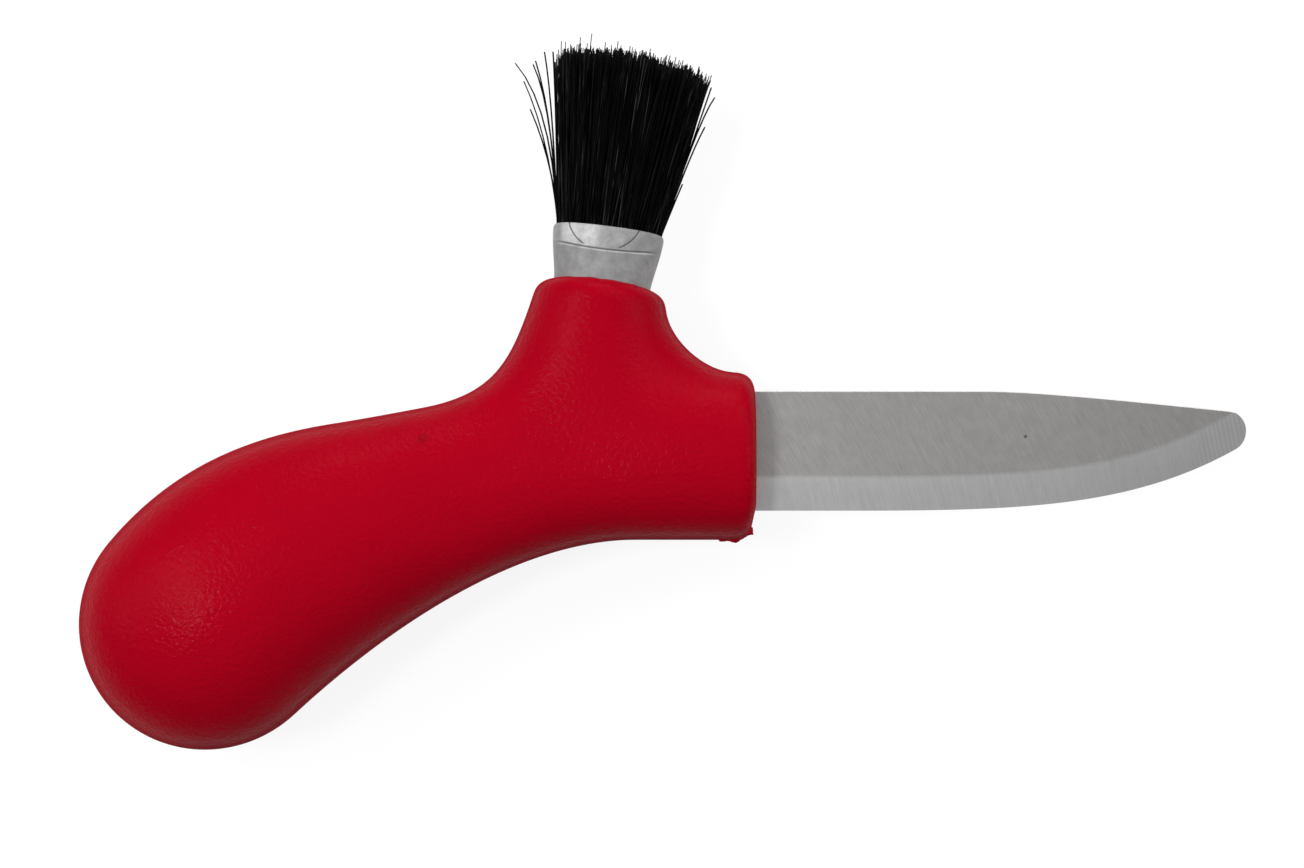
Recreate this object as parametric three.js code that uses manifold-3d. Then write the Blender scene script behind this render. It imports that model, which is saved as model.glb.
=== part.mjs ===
// Mushroom knife: a short round-tipped blade moulded into a palm-grip handle, with a cleaning brush set in
// a boss above the blade. Millimetres. The knife lies on its side: +X runs to the blade tip, +Y to the brush
// and +Z up. While the pieces are drawn, X = 0 is the handle's front face, Y = 0 is half way up the blade and
// Z = 0 is the blade's middle plane. The finished knife is then set down with its origin under the middle of
// its outline.
import * as THREE from "three";
import { mergeVertices } from "three/addons/utils/BufferGeometryUtils.js";
import Module from "manifold-3d";

const wasm = await Module();
wasm.setup();

// Fits
const CLEARANCE = 0.3; // between a piece and the socket that holds it

// Blade
const BLADE_LENGTH = 72; // front face of the handle to the tip
const BLADE_HEIGHT = 17.5;
const BLADE_THICKNESS = 2.0;
const EDGE_THICKNESS = 0.25;
const BEVEL_WIDTH = 4.9;
const TIP_LEAST_FALL = 0.05; // share of the bevel's full fall that is left where it meets the spine
const BEVEL_RUNOUT = 3; // length over which the bevel starts, inside the handle
const SPINE_STRAIGHT = 33.6; // length of spine, from the handle, before it falls to the tip
const SPINE_FALL = 6; // degrees, where the spine meets the tip
const TIP_RADIUS = 3.0;
const TIP_RISE = 2.85; // centre of the tip's round above half height
const BELLY_START = 14; // length of straight edge, from the handle
const BELLY_RISE = 29; // degrees, where the edge meets the tip
const SPINE_HEEL_EASE = 0.2; // how gently a curve starts, as a share of its reach: spine, then belly
const SPINE_TIP_EASE = 0.5;
const BELLY_HEEL_EASE = 0.45;
const BELLY_TIP_EASE = 0.32;

// Tang, the part of the blade that is hidden in the handle
const HEEL_DEPTH = 4; // full height of blade that enters the handle
const TANG_LENGTH = 50;
const TANG_HEIGHT = 9;
const TANG_DROP = 3.5; // centre of the tang below half height
const KEY_HOLE_RADIUS = 2.4; // holes that the moulded handle keys through
const KEY_FIRST = 14; // front face to the first key hole
const KEY_END = 12; // last key hole to the end of the tang

// Handle
const FRONT_LIP_TOP = 2.7; // handle above the spine at the front face
const FRONT_LIP_BOTTOM = 4.25; // handle below the edge at the front face
const FRONT_ROUND = 2.1;
const BULB_RADIUS = 18.5; // round of the palm end, seen from the side
const BULB_BACK = 80; // centre of that round behind the front face
const BULB_DROP = 25.1; // and below half height of the blade
const BULB_END = 213; // degrees: where the palm end's axis meets its round
const BULB_TOP_LEAVE = 140; // degrees: where the back of the grip leaves the round
const BULB_BOTTOM_LEAVE = 313; // degrees: where the belly of the grip leaves the round
const CREST_BACK = 61.4; // top of the back of the grip, behind the front face
const CREST_HEIGHT = 4; // and above half height of the blade
const CREST_SLOPE = 8.9; // degrees
const NECK_SLOPE = -5.3; // degrees, of the back of the grip at the front face
const FINGER_BACK = 17.4; // end of the finger hollow, behind the front face
const BULB_TOP_EASE = 13.9; // how far each curve of the grip's two rails holds its slope at its ends
const CREST_REAR_EASE = 13;
const CREST_FRONT_EASE = 18.1;
const NECK_EASE = 17.6;
const BULB_BOTTOM_EASE = 20.2;
const FINGER_EASE = 16.3;
const BULB_ASPECT = 0.824; // thickness over height of the section at the palm end
const FRONT_ASPECT = 0.86; // and at the front face
const BULB_SQUARENESS = 2.0; // superellipse power of the section: 2 is an ellipse
const FRONT_SQUARENESS = 2.4;

// Boss, the collar of the handle that holds the brush
const RIM_BACK = 22.2; // centre of the rim behind the front face
const RIM_HEIGHT = 24.9; // and above half height of the blade
const BRUSH_TILT = 7.2; // degrees towards the blade
const BOSS_WALL = 2.55;
const BOSS_SHOULDER = 3.7; // round at the rim
const BOSS_FLARE = 13; // degrees from upright, of its front and rear walls just under the rim
const SKIRT_FRONT = 1.2; // where the boss runs out in front, along the back of the grip from its end
const SKIRT_MIDDLE = 22.1; // where it runs out down the sides
const SKIRT_REAR = 52; // and where it runs out behind
const SKIRT_WRAP = 90; // degrees that the boss runs out down each side of the grip
const SKIRT_SINK = 0.2; // depth of the skirt's foot under the grip's surface
const SKIRT_REAR_TIGHTNESS = 0.45; // how closely the boss's curve keeps to the corner it fills
const SKIRT_FRONT_TIGHTNESS = 0.31;

// Ferrule, a drawn metal cup whose mouth is pressed oval round the bristles
const FERRULE_RADIUS = 7.05;
const FERRULE_WALL = 0.4;
const FERRULE_CORNER = 1.2;
const FERRULE_SUNK = 16; // depth in the handle
const FERRULE_SHOWN = 7.6;
const PRESS_DEPTH = 1.5; // how far under the boss's rim the pressing starts
const MOUTH_SPREAD = 1.15; // the mouth is wider than the cup by this on each side
const MOUTH_PRESS = 1.1; // and thinner by this on each side
const CRIMP_BAND = 2.6; // height of the pressed band under the mouth
const CRIMP_STEP = 0.35; // its depth
const CRIMP_SMILE = 0.5; // dip of its lower edge in the middle of each side
const MOUTH_ROUND = 0.7;

// Bristles, set in resin in the bottom of the ferrule
const RESIN_DEPTH = 11;
const BRISTLE_RADIUS = 0.21;
const BRISTLE_TAPER = 0.7; // tip radius over root radius
const BRISTLE_PITCH = 0.62; // between neighbours at the mouth
const BRISTLE_LENGTH = 25.2; // mouth to tip
const BRISTLE_UNEVEN = 1.2; // most that a tip stands above or below that
const TUFT_FLARE_WIDE = 1.64; // spread of the tips over the mouth, across the knife's side
const TUFT_FLARE_THICK = 1.6; // and through its thickness
const TUFT_LEAN = 0.4; // the tips' shift towards the blade
const STRAY_FROM = 0.8; // share of the mouth's half width past which bristles stray
const STRAY_SPREAD = 4.2; // how far the outermost bristles bend away from the tuft

// Facets
const SECTION_STEPS = 36;
const LENGTH_STEPS = 40;
const ROUND_STEPS = 4;
const SKIRT_STEPS = 9;
const CUP_STEPS = 40;
const CURVE_STEPS = 12;
const HOLE_STEPS = 24;

const OVERRUN = 5; // cutters reach this far past the face that they open
const degrees = THREE.MathUtils.degToRad;
const lerp = THREE.MathUtils.lerp;

// Materials
const material = (name, color, roughness, metalness) =>
  new THREE.MeshStandardMaterial({ name, color, roughness, metalness });
const HANDLE_PLASTIC = material("moulded_plastic", "#b3031a", 0.5, 0);
const BLADE_STEEL = material("ground_stainless_steel", "#9b9a98", 0.35, 1);
const FERRULE_METAL = material("drawn_aluminium", "#b9babb", 0.4, 1);
const BRISTLE_FIBRE = material("bristle_fibre", "#0c0b0b", 0.55, 0);

// Solids

function toSolid(geometry) {
  const bare = geometry.clone();
  bare.deleteAttribute("normal");
  bare.deleteAttribute("uv");
  const merged = mergeVertices(bare);
  return new wasm.Manifold(
    new wasm.Mesh({
      numProp: 3,
      vertProperties: new Float32Array(merged.attributes.position.array),
      triVerts: new Uint32Array(merged.index.array),
    }),
  );
}

function toGeometry(solid) {
  const mesh = solid.getMesh();
  const geometry = new THREE.BufferGeometry();
  geometry.setAttribute("position", new THREE.BufferAttribute(mesh.vertProperties, 3));
  geometry.setIndex(new THREE.BufferAttribute(mesh.triVerts, 1));
  geometry.computeVertexNormals();
  return geometry;
}

function piece(name, geometry, finish) {
  const mesh = new THREE.Mesh(geometry, finish);
  mesh.name = name;
  return mesh;
}

function trianglesOf(positions, index) {
  const geometry = new THREE.BufferGeometry();
  geometry.setAttribute("position", new THREE.Float32BufferAttribute(positions, 3));
  geometry.setIndex(index);
  return geometry;
}

// The bands of triangles between rings of equal point count.
function bands(rings) {
  const count = rings[0].length;
  const index = [];
  for (let r = 0; r + 1 < rings.length; r++) {
    for (let i = 0; i < count; i++) {
      const next = (i + 1) % count;
      const low = r * count;
      const high = low + count;
      index.push(low + i, low + next, high + next, low + i, high + next, high + i);
    }
  }
  return index;
}

const flatten = (points) => points.flatMap((p) => [p.x, p.y, p.z]);

// A closed solid skinned over rings, with each end drawn together to a point.
function loft(rings, startPoint, endPoint) {
  const count = rings[0].length;
  const index = bands(rings);
  const start = rings.length * count;
  const end = start + 1;
  const lastRing = start - count;
  for (let i = 0; i < count; i++) {
    const next = (i + 1) % count;
    index.push(start, next, i, end, lastRing + i, lastRing + next);
  }
  return trianglesOf(flatten([...rings.flat(), startPoint, endPoint]), index);
}

// A closed solid skinned over rings, of which the first and the last are flat and are filled in.
function stack(rings) {
  const index = bands(rings);
  const lastRing = (rings.length - 1) * rings[0].length;
  for (const [a, b, c] of THREE.ShapeUtils.triangulateShape(rings[0], [])) index.push(a, c, b);
  for (const [a, b, c] of THREE.ShapeUtils.triangulateShape(rings.at(-1), [])) {
    index.push(lastRing + a, lastRing + b, lastRing + c);
  }
  return trianglesOf(flatten(rings.flat()), index);
}

const polar = (centre, radius, angle) =>
  new THREE.Vector2(centre.x + radius * Math.cos(angle), centre.y + radius * Math.sin(angle));

// A curve that leaves one point and reaches another at given slopes, in degrees, and holds each for a length.
function sweep(from, fromSlope, fromEase, to, toSlope, toEase) {
  const leave = polar(from, fromEase, degrees(fromSlope));
  const arrive = polar(to, -toEase, degrees(toSlope));
  return new THREE.CubicBezierCurve(from, leave, arrive, to);
}

// Blade

// The hidden outline of heel and tang from spine to edge, grown on all sides by a clearance.
function tangOutline(grow) {
  const heel = -HEEL_DEPTH - grow;
  const radius = TANG_HEIGHT / 2 + grow;
  const endCentre = -TANG_LENGTH + TANG_HEIGHT / 2;
  const end = new THREE.EllipseCurve(endCentre, -TANG_DROP, radius, radius, degrees(90), degrees(270));
  return [
    new THREE.Vector2(heel, BLADE_HEIGHT / 2 + grow),
    new THREE.Vector2(heel, -TANG_DROP + radius),
    ...end.getPoints(CURVE_STEPS),
    new THREE.Vector2(heel, -TANG_DROP - radius),
    new THREE.Vector2(heel, -BLADE_HEIGHT / 2 - grow),
  ];
}

function keyPins(radius, length) {
  const pins = [-KEY_FIRST, -TANG_LENGTH + KEY_END].map((x) =>
    new THREE.CylinderGeometry(radius, radius, length, HOLE_STEPS)
      .rotateX(Math.PI / 2)
      .translate(x, -TANG_DROP, 0),
  );
  return pins.map(toSolid).reduce((all, pin) => all.add(pin));
}

function bladeGeometry() {
  const halfHeight = BLADE_HEIGHT / 2;
  const tipCentre = new THREE.Vector2(BLADE_LENGTH - TIP_RADIUS, TIP_RISE);
  const bellyAngle = degrees(BELLY_RISE - 90);
  const spineAngle = degrees(90 - SPINE_FALL);
  const onTip = (angle) => polar(tipCentre, TIP_RADIUS, angle);
  const bellyStart = new THREE.Vector2(BELLY_START, -halfHeight);
  const bellyReach = tipCentre.x - bellyStart.x;
  const belly = sweep(
    bellyStart,
    0,
    BELLY_HEEL_EASE * bellyReach,
    onTip(bellyAngle),
    BELLY_RISE,
    BELLY_TIP_EASE * bellyReach,
  );
  const { x, y } = tipCentre;
  const tip = new THREE.EllipseCurve(x, y, TIP_RADIUS, TIP_RADIUS, bellyAngle, spineAngle);
  const spineStart = new THREE.Vector2(SPINE_STRAIGHT, halfHeight);
  const spineReach = tipCentre.x - spineStart.x;
  const spine = sweep(
    onTip(spineAngle),
    180 - SPINE_FALL,
    SPINE_TIP_EASE * spineReach,
    spineStart,
    180,
    SPINE_HEEL_EASE * spineReach,
  );

  // The edge from heel to tip, and inside it the line where the bevel starts.
  const bevelStart = new THREE.Vector2(-HEEL_DEPTH + BEVEL_RUNOUT, -halfHeight);
  const straight = new THREE.LineCurve(bevelStart, bellyStart);
  const inside = (curve, t) => {
    const along = curve.getTangent(t);
    return curve.getPoint(t).add(new THREE.Vector2(-along.y, along.x).multiplyScalar(BEVEL_WIDTH));
  };
  const steps = Array.from({ length: CURVE_STEPS + 1 }, (_, i) => i / CURVE_STEPS);
  const bevelEnd = inside(belly, 1);
  const spineEnd = onTip(spineAngle);
  const edge = [
    ...steps.map((t) => straight.getPoint(t)),
    ...steps.slice(1).map((t) => belly.getPoint(t)),
    ...steps.slice(1).map((t) => tip.getPoint(t)),
  ];
  const grind = [
    ...steps.map((t) => inside(straight, t)),
    ...steps.slice(1).map((t) => inside(belly, t)),
    ...steps.slice(1).map((t) => bevelEnd.clone().lerp(spineEnd, t)),
  ];
  const back = [...spine.getPoints(CURVE_STEPS).slice(1), ...tangOutline(0)];

  // The bevel is ground flat, so the edge thickens round the tip as it nears the grind line at the spine.
  const half = BLADE_THICKNESS / 2;
  const alongGrind = spineEnd.clone().sub(bevelEnd).normalize();
  const halfEdge = (p) => {
    const reach = p.clone().sub(bevelEnd).cross(alongGrind);
    const fall = THREE.MathUtils.clamp(reach / BEVEL_WIDTH, TIP_LEAST_FALL, 1);
    return lerp(half, EDGE_THICKNESS / 2, fall);
  };
  const edgeHeights = [
    ...edge.slice(0, -CURVE_STEPS).map(() => EDGE_THICKNESS / 2),
    ...edge.slice(-CURVE_STEPS).map(halfEdge),
    ...back.map(() => EDGE_THICKNESS / 2),
  ];
  const flatRing = (side) => [...grind, ...back].map((p) => new THREE.Vector3(p.x, p.y, side * half));
  const edgeRing = (side) =>
    [...edge, ...back].map((p, i) => new THREE.Vector3(p.x, p.y, side * edgeHeights[i]));
  const blank = toSolid(stack([flatRing(-1), edgeRing(-1), edgeRing(1), flatRing(1)]));
  const strip = blank.subtract(keyPins(KEY_HOLE_RADIUS, BLADE_THICKNESS + OVERRUN));

  // Parted just clear of the handle and joined again, so that no face of the flat runs on under the handle.
  const [shown, hidden] = strip.splitByPlane([1, 0, 0], CLEARANCE);
  return toGeometry(shown.asOriginal().add(hidden.asOriginal()));
}

// Handle

const bulbCentre = new THREE.Vector2(-BULB_BACK, -BULB_DROP);
const onBulb = (angle) => polar(bulbCentre, BULB_RADIUS, degrees(angle));
const bulbArc = (from, to) =>
  new THREE.EllipseCurve(
    bulbCentre.x,
    bulbCentre.y,
    BULB_RADIUS,
    BULB_RADIUS,
    degrees(from),
    degrees(to),
    to < from,
  );

// Two rails from the palm end to the front: the back of the grip, and its belly with the finger hollow.
const backRail = new THREE.CurvePath();
const crest = new THREE.Vector2(-CREST_BACK, CREST_HEIGHT);
const frontTop = new THREE.Vector2(-FRONT_ROUND, BLADE_HEIGHT / 2 + FRONT_LIP_TOP);
backRail.add(bulbArc(BULB_END, BULB_TOP_LEAVE));
const topSlope = BULB_TOP_LEAVE - 90;
backRail.add(sweep(onBulb(BULB_TOP_LEAVE), topSlope, BULB_TOP_EASE, crest, CREST_SLOPE, CREST_REAR_EASE));
backRail.add(sweep(crest, CREST_SLOPE, CREST_FRONT_EASE, frontTop, NECK_SLOPE, NECK_EASE));

const bellyRail = new THREE.CurvePath();
const frontBottom = new THREE.Vector2(-FRONT_ROUND, -BLADE_HEIGHT / 2 - FRONT_LIP_BOTTOM);
const fingerEnd = new THREE.Vector2(-FINGER_BACK, frontBottom.y);
bellyRail.add(bulbArc(BULB_END, BULB_BOTTOM_LEAVE));
const bottomSlope = BULB_BOTTOM_LEAVE - 270;
bellyRail.add(sweep(onBulb(BULB_BOTTOM_LEAVE), bottomSlope, BULB_BOTTOM_EASE, fingerEnd, 0, FINGER_EASE));
bellyRail.add(new THREE.LineCurve(fingerEnd, frontBottom));

const signedPower = (value, power) => Math.sign(value) * Math.abs(value) ** power;

// A point of the grip: u runs from the palm end to the front, the angle goes round the section from its
// +Z side.
function gripPoint(u, angle, inset = 0, forward = 0) {
  const top = backRail.getPoint(u);
  const bottom = bellyRail.getPoint(u);
  const height = top.distanceTo(bottom) / 2;
  const middle = top.clone().lerp(bottom, 0.5);
  const up = top.clone().sub(bottom).normalize();
  const width = height * lerp(BULB_ASPECT, FRONT_ASPECT, u) - inset;
  const power = 2 / lerp(BULB_SQUARENESS, FRONT_SQUARENESS, u);
  const rise = (height - inset) * signedPower(Math.sin(angle), power);
  const across = width * signedPower(Math.cos(angle), power);
  return new THREE.Vector3(middle.x + up.x * rise + forward, middle.y + up.y * rise, across);
}

function gripRing(u, inset, forward) {
  return Array.from({ length: SECTION_STEPS }, (_, i) =>
    gripPoint(u, (-2 * Math.PI * i) / SECTION_STEPS, inset, forward),
  );
}

function gripSolid() {
  const rings = [];
  for (let i = 1; i <= LENGTH_STEPS; i++) rings.push(gripRing(i / LENGTH_STEPS));
  for (let i = 1; i <= ROUND_STEPS; i++) {
    const turn = ((Math.PI / 2) * i) / ROUND_STEPS;
    rings.push(gripRing(1, FRONT_ROUND * (1 - Math.cos(turn)), FRONT_ROUND * Math.sin(turn)));
  }
  const palmEnd = backRail.getPoint(0);
  const front = new THREE.Vector3(0, (frontTop.y + frontBottom.y) / 2, 0);
  return toSolid(loft(rings, new THREE.Vector3(palmEnd.x, palmEnd.y, 0), front));
}

// The brush's frame: its origin is the centre of the boss's rim and its +Y is the brush's axis.
const brushFrame = new THREE.Matrix4()
  .makeRotationZ(-degrees(BRUSH_TILT))
  .setPosition(-RIM_BACK, RIM_HEIGHT, 0);
const inKnife = (x, y, z) => new THREE.Vector3(x, y, z).applyMatrix4(brushFrame);

const bossRadius = FERRULE_RADIUS + CLEARANCE + BOSS_WALL;
const alongBack = (distance) => 1 - distance / backRail.getLength();
const skirtCentre = gripPoint(alongBack(SKIRT_MIDDLE), 0).setZ(0);

// One line down the boss, from its rim to where it runs out on the grip, as points from the foot up.
function bossMeridian(angle) {
  const ahead = Math.cos(angle);
  const aside = Math.sin(angle);
  const reach = Math.abs((ahead > 0 ? SKIRT_FRONT : SKIRT_REAR) - SKIRT_MIDDLE);
  const onGrip = (share) =>
    gripPoint(alongBack(SKIRT_MIDDLE - share * reach * ahead), degrees(90 - share * SKIRT_WRAP * aside));
  const ring = (radius, height) => inKnife(radius * ahead, height, radius * aside);

  const foot = onGrip(1);
  const runOut = onGrip(1.01).sub(onGrip(0.99)).normalize();
  const shoulder = ring(bossRadius, -BOSS_SHOULDER);
  const wall = new THREE.Vector3(ahead * Math.tan(degrees(BOSS_FLARE)), -1, 0).normalize();
  const tightness = lerp(SKIRT_REAR_TIGHTNESS, SKIRT_FRONT_TIGHTNESS, (1 + ahead) / 2);
  const handle = tightness * foot.distanceTo(shoulder);
  const side = new THREE.CubicBezierCurve3(
    foot,
    foot.clone().addScaledVector(runOut, -handle),
    shoulder.clone().addScaledVector(wall, handle),
    shoulder,
  );
  const points = side.getPoints(SKIRT_STEPS);
  const inwards = skirtCentre.clone().sub(foot).normalize();
  points[0] = foot.clone().addScaledVector(inwards, SKIRT_SINK);
  for (let i = 1; i <= ROUND_STEPS; i++) {
    const turn = ((Math.PI / 2) * i) / ROUND_STEPS;
    const inset = BOSS_SHOULDER * (1 - Math.cos(turn));
    points.push(ring(bossRadius - inset, BOSS_SHOULDER * (Math.sin(turn) - 1)));
  }
  return points;
}

function bossSolid() {
  const turns = Array.from({ length: CUP_STEPS }, (_, i) => (-2 * Math.PI * i) / CUP_STEPS);
  const meridians = turns.map(bossMeridian);
  const rings = meridians[0].map((_, k) => meridians.map((meridian) => meridian[k]));
  return toSolid(loft(rings, skirtCentre, inKnife(0, 0, 0)));
}

// The space for heel and tang, open at the front face, with the moulded keys left standing in it.
function tangSocket() {
  const depth = BLADE_THICKNESS + 2 * CLEARANCE;
  const halfHeight = BLADE_HEIGHT / 2 + CLEARANCE;
  const outline = new THREE.Shape([
    new THREE.Vector2(OVERRUN, -halfHeight),
    new THREE.Vector2(OVERRUN, halfHeight),
    ...tangOutline(CLEARANCE),
  ]);
  const slot = new THREE.ExtrudeGeometry(outline, { depth, bevelEnabled: false });
  slot.translate(0, 0, -depth / 2);
  return toSolid(slot).subtract(keyPins(KEY_HOLE_RADIUS - CLEARANCE, depth + OVERRUN));
}

function ferruleSocket() {
  const radius = FERRULE_RADIUS + CLEARANCE;
  const depth = FERRULE_SUNK + CLEARANCE + OVERRUN;
  const bore = new THREE.CylinderGeometry(radius, radius, depth, CUP_STEPS);
  return toSolid(bore.translate(0, OVERRUN - depth / 2, 0).applyMatrix4(brushFrame));
}

function handleGeometry() {
  const blank = gripSolid().add(bossSolid());
  return toGeometry(blank.subtract(tangSocket()).subtract(ferruleSocket()));
}

// Ferrule

const ferruleBottom = -FERRULE_SUNK;

// The cup's half width and half thickness at a height, from round in the handle to oval at the mouth.
function ferruleOval(height) {
  const pressed = THREE.MathUtils.smoothstep(height, -PRESS_DEPTH, FERRULE_SHOWN);
  return [FERRULE_RADIUS + MOUTH_SPREAD * pressed, FERRULE_RADIUS - MOUTH_PRESS * pressed];
}

// One ring of the cup. The crimp is deepest in the middle of each side, and its lower edge dips there.
function ferruleRing(height, inset, crimp = 0, smile = 0) {
  const [wide, thick] = ferruleOval(height);
  return Array.from({ length: CUP_STEPS }, (_, i) => {
    const angle = (-2 * Math.PI * i) / CUP_STEPS;
    const facing = Math.sin(angle) ** 2;
    const x = (wide - inset) * Math.cos(angle);
    const z = (thick - inset - crimp * facing) * Math.sin(angle);
    return new THREE.Vector3(x, height - smile * facing, z);
  });
}

function ferruleGeometry() {
  const crease = FERRULE_SHOWN - CRIMP_BAND;
  const floor = ferruleBottom + FERRULE_WALL;
  const rings = [];
  for (let i = 0; i <= ROUND_STEPS; i++) {
    const turn = ((Math.PI / 2) * i) / ROUND_STEPS;
    const inset = FERRULE_CORNER * (1 - Math.sin(turn));
    rings.push(ferruleRing(ferruleBottom + FERRULE_CORNER * (1 - Math.cos(turn)), inset));
  }
  const outside = [-PRESS_DEPTH, 0, crease / 2, crease - CRIMP_STEP];
  for (const height of outside) rings.push(ferruleRing(height, 0, 0, height > 0 ? CRIMP_SMILE : 0));
  rings.push(ferruleRing(crease, 0, CRIMP_STEP, CRIMP_SMILE));
  rings.push(ferruleRing(FERRULE_SHOWN - MOUTH_ROUND, 0, CRIMP_STEP));
  rings.push(ferruleRing(FERRULE_SHOWN - MOUTH_ROUND / 4, FERRULE_WALL / 4, CRIMP_STEP));
  rings.push(ferruleRing(FERRULE_SHOWN, FERRULE_WALL / 2, CRIMP_STEP));
  rings.push(ferruleRing(FERRULE_SHOWN - MOUTH_ROUND / 4, FERRULE_WALL, CRIMP_STEP));
  rings.push(ferruleRing(crease, FERRULE_WALL, CRIMP_STEP, CRIMP_SMILE));
  for (const height of outside.toReversed()) {
    rings.push(ferruleRing(height, FERRULE_WALL, 0, height > 0 ? CRIMP_SMILE : 0));
  }
  rings.push(ferruleRing(floor + FERRULE_CORNER, FERRULE_WALL));
  rings.push(ferruleRing(floor, FERRULE_WALL + FERRULE_CORNER));
  return loft(rings, new THREE.Vector3(0, ferruleBottom, 0), new THREE.Vector3(0, floor, 0));
}

// Bristles

const resinRadius = FERRULE_RADIUS - FERRULE_WALL - CLEARANCE;
const resinFloor = ferruleBottom + FERRULE_WALL + CLEARANCE;
const resinTop = resinFloor + RESIN_DEPTH;

// The same scatter on every run, from 0 to 1, for a bristle's number and one of its traits.
function scatter(number, trait) {
  const wave = Math.sin(number * 12.9898 + trait * 78.233) * 43758.5453;
  return wave - Math.floor(wave);
}

// Places of the bristles at the mouth, on a close-packed grid, also as shares of its half width and half
// thickness.
function bristleSeats() {
  const [wide, thick] = ferruleOval(FERRULE_SHOWN);
  const room = FERRULE_WALL + CLEARANCE + BRISTLE_RADIUS;
  const halfWide = wide - room;
  const halfThick = thick - CRIMP_STEP - room;
  const rowStep = BRISTLE_PITCH * Math.sqrt(0.75);
  const rows = Math.floor(halfThick / rowStep);
  const columns = Math.ceil(halfWide / BRISTLE_PITCH);
  const seats = [];
  for (let row = -rows; row <= rows; row++) {
    for (let column = -columns; column <= columns; column++) {
      const x = (column + (row % 2 ? 0.5 : 0)) * BRISTLE_PITCH;
      const z = row * rowStep;
      const shareX = x / halfWide;
      const shareZ = z / halfThick;
      if (Math.hypot(shareX, shareZ) <= 1) seats.push({ x, z, shareX, shareZ });
    }
  }
  return seats;
}

// One bristle from its root in the resin through the mouth to its tip, as a tapering three-sided strand.
function bristleGeometry(seat, number) {
  const rootRoom = resinRadius - BRISTLE_RADIUS - CLEARANCE;
  const stray = Math.max(0, Math.abs(seat.shareX) - STRAY_FROM) / (1 - STRAY_FROM);
  const splay = Math.sign(seat.x) * STRAY_SPREAD * stray ** 2 * scatter(number, 1);
  const rise = BRISTLE_LENGTH + BRISTLE_UNEVEN * (2 * scatter(number, 2) - 1);
  const jitter = BRISTLE_PITCH / 4;
  const tip = new THREE.Vector3(
    seat.x * TUFT_FLARE_WIDE + TUFT_LEAN + splay + jitter * (2 * scatter(number, 3) - 1),
    FERRULE_SHOWN + rise,
    seat.z * TUFT_FLARE_THICK + jitter * (2 * scatter(number, 4) - 1),
  );
  const mouth = new THREE.Vector3(seat.x, FERRULE_SHOWN, seat.z);
  const halfWay = mouth.clone().lerp(tip, 0.5);
  halfWay.x -= splay / 4;
  const root = new THREE.Vector3(seat.shareX * rootRoom, resinTop - CLEARANCE, seat.shareZ * rootRoom);
  const path = [root, mouth, halfWay, tip];
  const turn = 2 * Math.PI * scatter(number, 5);
  const rings = path.map((centre, k) => {
    const radius = BRISTLE_RADIUS * lerp(1, BRISTLE_TAPER, k / (path.length - 1));
    return [0, 1, 2].map((corner) => {
      const angle = turn - (2 * Math.PI * corner) / 3;
      return new THREE.Vector3(radius * Math.cos(angle), 0, radius * Math.sin(angle)).add(centre);
    });
  });
  return loft(rings, root, tip);
}

// The tuft: all bristles and the resin that holds their roots.
function tuftGeometry() {
  const profile = [
    new THREE.Vector2(0, resinFloor),
    new THREE.Vector2(resinRadius - FERRULE_CORNER, resinFloor),
    new THREE.Vector2(resinRadius, resinFloor + FERRULE_CORNER),
    new THREE.Vector2(resinRadius, resinTop),
    new THREE.Vector2(0, resinTop),
  ];
  const resin = toSolid(new THREE.LatheGeometry(profile, CUP_STEPS));
  const bristles = bristleSeats().map((seat, number) => toSolid(bristleGeometry(seat, number)));
  return toGeometry(bristles.reduce((tuft, bristle) => tuft.add(bristle), resin));
}

// Assembly

const brush = new THREE.Group();
brush.applyMatrix4(brushFrame);
brush.add(
  piece("ferrule", ferruleGeometry(), FERRULE_METAL),
  piece("bristle_tuft", tuftGeometry(), BRISTLE_FIBRE),
);

const knife = new THREE.Group();
knife.add(
  piece("handle", handleGeometry(), HANDLE_PLASTIC),
  piece("blade", bladeGeometry(), BLADE_STEEL),
  brush,
);

const outline = new THREE.Box3().setFromObject(knife, true);
const middle = outline.getCenter(new THREE.Vector3());
knife.position.set(-middle.x, -middle.y, -outline.min.z);

const part = new THREE.Group();
part.add(knife);

export default part;
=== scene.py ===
# %% [markdown]
# # A mushroom knife
# The solids of this knife were made in a CAD step and packed with their sizes, weights and collision
# shapes. This script keeps that model as a fixed frame and dresses it: each solid is covered by a finer
# mesh of the same piece, in the same place, with the finish of the real material. Everything is in
# metres. The knife lies on its side, with +X towards the blade's tip, +Y towards the brush and +Z up to
# the camera.

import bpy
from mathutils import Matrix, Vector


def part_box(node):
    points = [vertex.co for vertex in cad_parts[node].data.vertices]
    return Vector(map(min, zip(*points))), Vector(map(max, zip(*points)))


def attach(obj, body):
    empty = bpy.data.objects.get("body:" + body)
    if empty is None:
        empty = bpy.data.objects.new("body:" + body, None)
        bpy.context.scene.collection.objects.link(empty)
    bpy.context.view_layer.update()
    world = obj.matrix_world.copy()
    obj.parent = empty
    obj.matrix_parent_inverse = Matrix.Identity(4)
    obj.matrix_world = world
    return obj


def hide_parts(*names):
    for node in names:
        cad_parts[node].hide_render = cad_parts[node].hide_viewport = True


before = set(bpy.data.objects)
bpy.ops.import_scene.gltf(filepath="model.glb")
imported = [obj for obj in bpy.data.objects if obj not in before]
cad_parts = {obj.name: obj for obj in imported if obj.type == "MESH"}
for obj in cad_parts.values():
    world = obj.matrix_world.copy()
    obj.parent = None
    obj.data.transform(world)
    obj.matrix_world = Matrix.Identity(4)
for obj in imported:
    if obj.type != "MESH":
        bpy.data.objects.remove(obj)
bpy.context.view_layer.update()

import math

import bpy
import numpy as np
from mathutils import Vector

print("nodes:", sorted(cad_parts))

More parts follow.
